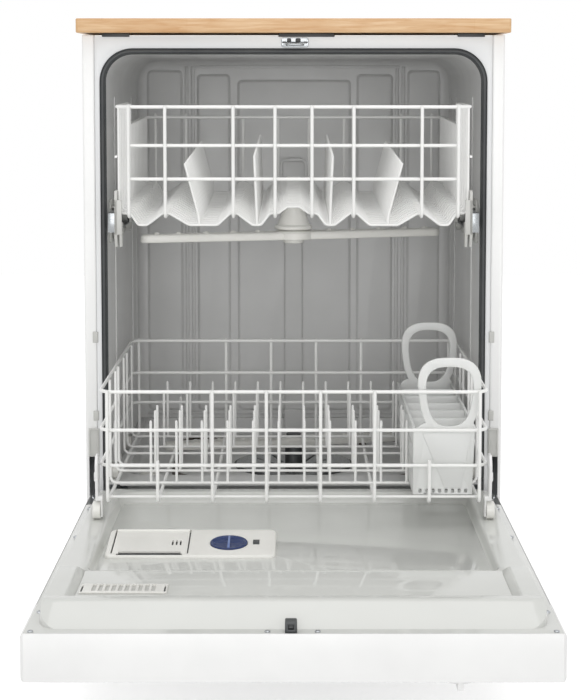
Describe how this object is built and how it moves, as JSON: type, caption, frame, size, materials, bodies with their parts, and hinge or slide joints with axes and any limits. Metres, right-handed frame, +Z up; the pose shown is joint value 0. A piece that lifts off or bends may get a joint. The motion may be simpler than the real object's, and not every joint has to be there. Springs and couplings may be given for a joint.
{
  "type": "portable dishwasher",
  "caption": "Rolling dishwasher with a wooden worktop, lowered door, two pulled-out wire racks, spray arms and a cutlery basket.",
  "frame": {"origin": "on the floor, under the middle of the machine with its door open", "axes": "+Z up, the open door points along -Y, +X is to the right of someone facing the machine"},
  "size_m": [0.637, 1.321, 0.914],
  "materials": {
    "maple": "oiled, edges eased",
    "white_enamel": "gloss enamel",
    "pale_frame": "satin",
    "galvanised": "dull",
    "dark_metal": "matt",
    "dark_rubber": "matt",
    "bright_steel": "bright",
    "tub_plastic": "satin moulded",
    "liner_plastic": "gloss moulded",
    "white_plastic": "satin moulded",
    "pale_plastic": "satin moulded",
    "dark_plastic": "matt moulded",
    "blue_plastic": "satin moulded",
    "coated_wire": "vinyl coat over steel wire",
    "grey_plastic": "matt moulded",
    "clear_plastic": "hazy, lets some light through",
    "stainless": "satin",
    "heater": "dark oxide",
    "spring_steel": "plain"
  },
  "bodies": {
    "cabinet": {"worktop": "maple", "worktop_brackets": "dark_metal", "cabinet_sides": "white_enamel", "cabinet_back": "galvanised", "rear_port_plate": "dark_plastic", "inlet_valve": "pale_plastic", "base_frame": "galvanised", "access_panel": "white_enamel", "front_frame": "pale_frame", "door_gasket": "dark_rubber", "latch_strike": "bright_steel", "frame_clips": "white_plastic", "door_hinges": "galvanised", "tub": "tub_plastic", "roller_brackets": "grey_plastic", "sump": "dark_plastic", "filter_screen": "stainless", "heating_element": "heater", "feed_tube": "grey_plastic", "wash_pump": "dark_metal", "drain_pump": "pale_plastic", "door_outer_panel": "white_enamel", "door_liner": "liner_plastic", "control_console": "white_plastic", "door_latch": "dark_plastic", "vent_grille": "grey_plastic", "dispenser_housing": "pale_plastic", "door_springs": "spring_steel", "screws": "bright_steel", "caster_mounts": "galvanised"},
    "upper_rack": {"upper_rack_basket": "coated_wire", "upper_rack_tines": "coated_wire", "upper_roller_carriers": "grey_plastic", "upper_feed_pipe": "grey_plastic"},
    "upper_arm": {"upper_spray_arm": "pale_plastic"},
    "slide_rail_pair": {"slide_rails": "stainless"},
    "rack_rollers_front_body": {"rack_rollers_front": "grey_plastic"},
    "rack_rollers_rear_body": {"rack_rollers_rear": "grey_plastic"},
    "tub_rollers_front_body": {"tub_rollers_front": "grey_plastic"},
    "tub_rollers_rear_body": {"tub_rollers_rear": "grey_plastic"},
    "lower_rack": {"lower_rack_basket": "coated_wire", "lower_rack_tines": "coated_wire", "lower_wheel_carriers": "grey_plastic"},
    "lower_wheels_front_body": {"lower_wheels_front": "grey_plastic"},
    "lower_wheels_middle_body": {"lower_wheels_middle": "grey_plastic"},
    "lower_wheels_rear_body": {"lower_wheels_rear": "grey_plastic"},
    "lower_arm": {"lower_spray_arm": "pale_plastic"},
    "cutlery_basket": {"silverware_basket": "clear_plastic"},
    "lid": {"detergent_lid": "pale_plastic"},
    "cap": {"rinse_cap": "blue_plastic"},
    "dial": {"cycle_dial": "white_plastic"},
    "start": {"start_button": "white_plastic"},
    "heat": {"heat_button": "white_plastic"},
    "handle": {"latch_handle": "pale_plastic"},
    "float": {"float_cap": "pale_plastic"},
    "fork_left": {"front_caster_fork_left": "galvanised"},
    "fork_right": {"front_caster_fork_right": "galvanised"},
    "wheel_left": {"front_caster_wheel_left": "dark_rubber"},
    "wheel_right": {"front_caster_wheel_right": "dark_rubber"},
    "rear_wheels": {"rear_caster_wheels": "dark_rubber"}
  },
  "joints": [
    {"name": "upper_rack_slide", "type": "slide", "parent": "cabinet", "child": "upper_rack", "axis": [0, -1, 0], "range_m": [-0.148, 0.3]},
    {"name": "slide_rails_follow", "type": "slide", "parent": "cabinet", "child": "slide_rail_pair", "axis": [0, -1, 0], "range_m": [-0.075, 0.151]},
    {"name": "rack_rollers_front_turn", "type": "hinge", "parent": "upper_rack", "child": "rack_rollers_front_body", "pos_m": [0, 0.1525, 0.6177], "axis": [1, 0, 0], "range_deg": [-376.9, 758.9]},
    {"name": "rack_rollers_rear_turn", "type": "hinge", "parent": "upper_rack", "child": "rack_rollers_rear_body", "pos_m": [0, 0.3865, 0.6177], "axis": [1, 0, 0], "range_deg": [-376.9, 758.9]},
    {"name": "tub_rollers_front_turn", "type": "hinge", "parent": "cabinet", "child": "tub_rollers_front_body", "pos_m": [0, 0.0895, 0.5937], "axis": [1, 0, 0], "range_deg": [-429, 864.4]},
    {"name": "tub_rollers_rear_turn", "type": "hinge", "parent": "cabinet", "child": "tub_rollers_rear_body", "pos_m": [0, 0.2795, 0.5937], "axis": [1, 0, 0], "range_deg": [-429, 864.4]},
    {"name": "upper_arm_spin", "type": "hinge", "parent": "upper_rack", "child": "upper_arm", "pos_m": [0, 0.1475, 0.58], "axis": [0, 0, 1], "continuous": true},
    {"name": "lower_rack_slide", "type": "slide", "parent": "cabinet", "child": "lower_rack", "axis": [0, -1, 0], "range_m": [-0.24, 0.23]},
    {"name": "lower_wheels_front_turn", "type": "hinge", "parent": "lower_rack", "child": "lower_wheels_front_body", "pos_m": [0, -0.1875, 0.2348], "axis": [1, 0, 0], "range_deg": [-1150.9, 1103.2]},
    {"name": "lower_wheels_middle_turn", "type": "hinge", "parent": "lower_rack", "child": "lower_wheels_middle_body", "pos_m": [0, 0.0645, 0.2348], "axis": [1, 0, 0], "range_deg": [-1150.9, 1103.2]},
    {"name": "lower_wheels_rear_turn", "type": "hinge", "parent": "lower_rack", "child": "lower_wheels_rear_body", "pos_m": [0, 0.2815, 0.2348], "axis": [1, 0, 0], "range_deg": [-1150.9, 1103.2]},
    {"name": "lower_arm_spin", "type": "hinge", "parent": "cabinet", "child": "lower_arm", "pos_m": [0, 0.3045, 0.226], "axis": [0, 0, 1], "continuous": true},
    {"name": "basket_lift", "type": "slide", "parent": "lower_rack", "child": "cutlery_basket", "axis": [0, 0, 1], "range_m": [0, 0.12]},
    {"name": "detergent_lid_hinge", "type": "hinge", "parent": "cabinet", "child": "lid", "pos_m": [-0.1865, -0.2535, 0.222], "axis": [1, 0, 0], "range_deg": [-100, 0]},
    {"name": "rinse_cap_turn", "type": "hinge", "parent": "cabinet", "child": "cap", "pos_m": [-0.0847, -0.29922, 0.21792], "axis": [0, -0.1104, 0.9939], "range_deg": [0, 90]},
    {"name": "dial_turn", "type": "hinge", "parent": "cabinet", "child": "dial", "pos_m": [0.19, -0.5975, 0.155], "axis": [0, 0, 1], "continuous": true},
    {"name": "start_press", "type": "slide", "parent": "cabinet", "child": "start", "axis": [0, 0, 1], "range_m": [0, 0.003], "stiffness_N_per_m": 800, "springref_m": -0.001},
    {"name": "heat_press", "type": "slide", "parent": "cabinet", "child": "heat", "axis": [0, 0, 1], "range_m": [0, 0.003], "stiffness_N_per_m": 800, "springref_m": -0.001},
    {"name": "handle_pull", "type": "hinge", "parent": "cabinet", "child": "handle", "pos_m": [0, -0.6455, 0.163], "axis": [1, 0, 0], "range_deg": [-20, 0], "stiffness_Nm_per_rad": 0.3, "springref_deg": 11.46},
    {"name": "float_rise", "type": "slide", "parent": "cabinet", "child": "float", "axis": [0, 0, 1], "range_m": [0, 0.012]},
    {"name": "caster_swivel_left", "type": "hinge", "parent": "cabinet", "child": "fork_left", "pos_m": [-0.255, 0.1045, 0.061], "axis": [0, 0, 1], "continuous": true},
    {"name": "caster_roll_left", "type": "hinge", "parent": "fork_left", "child": "wheel_left", "pos_m": [-0.255, 0.1225, 0.025], "axis": [1, 0, 0], "continuous": true},
    {"name": "caster_swivel_right", "type": "hinge", "parent": "cabinet", "child": "fork_right", "pos_m": [0.255, 0.1045, 0.061], "axis": [0, 0, 1], "continuous": true},
    {"name": "caster_roll_right", "type": "hinge", "parent": "fork_right", "child": "wheel_right", "pos_m": [0.255, 0.1225, 0.025], "axis": [1, 0, 0], "continuous": true},
    {"name": "rear_casters_roll", "type": "hinge", "parent": "cabinet", "child": "rear_wheels", "pos_m": [0, 0.5795, 0.025], "axis": [1, 0, 0], "continuous": true}
  ],
  "couplings": [
    {"joint": "slide_rails_follow", "follows": "upper_rack_slide", "ratio": 0.5},
    {"joint": "rack_rollers_front_turn", "follows": "upper_rack_slide", "rad_per_m": 43.86},
    {"joint": "rack_rollers_rear_turn", "follows": "upper_rack_slide", "rad_per_m": 43.86},
    {"joint": "tub_rollers_front_turn", "follows": "upper_rack_slide", "rad_per_m": 50},
    {"joint": "tub_rollers_rear_turn", "follows": "upper_rack_slide", "rad_per_m": 50},
    {"joint": "lower_wheels_front_turn", "follows": "lower_rack_slide", "rad_per_m": 83.333},
    {"joint": "lower_wheels_middle_turn", "follows": "lower_rack_slide", "rad_per_m": 83.333},
    {"joint": "lower_wheels_rear_turn", "follows": "lower_rack_slide", "rad_per_m": 83.333}
  ]
}
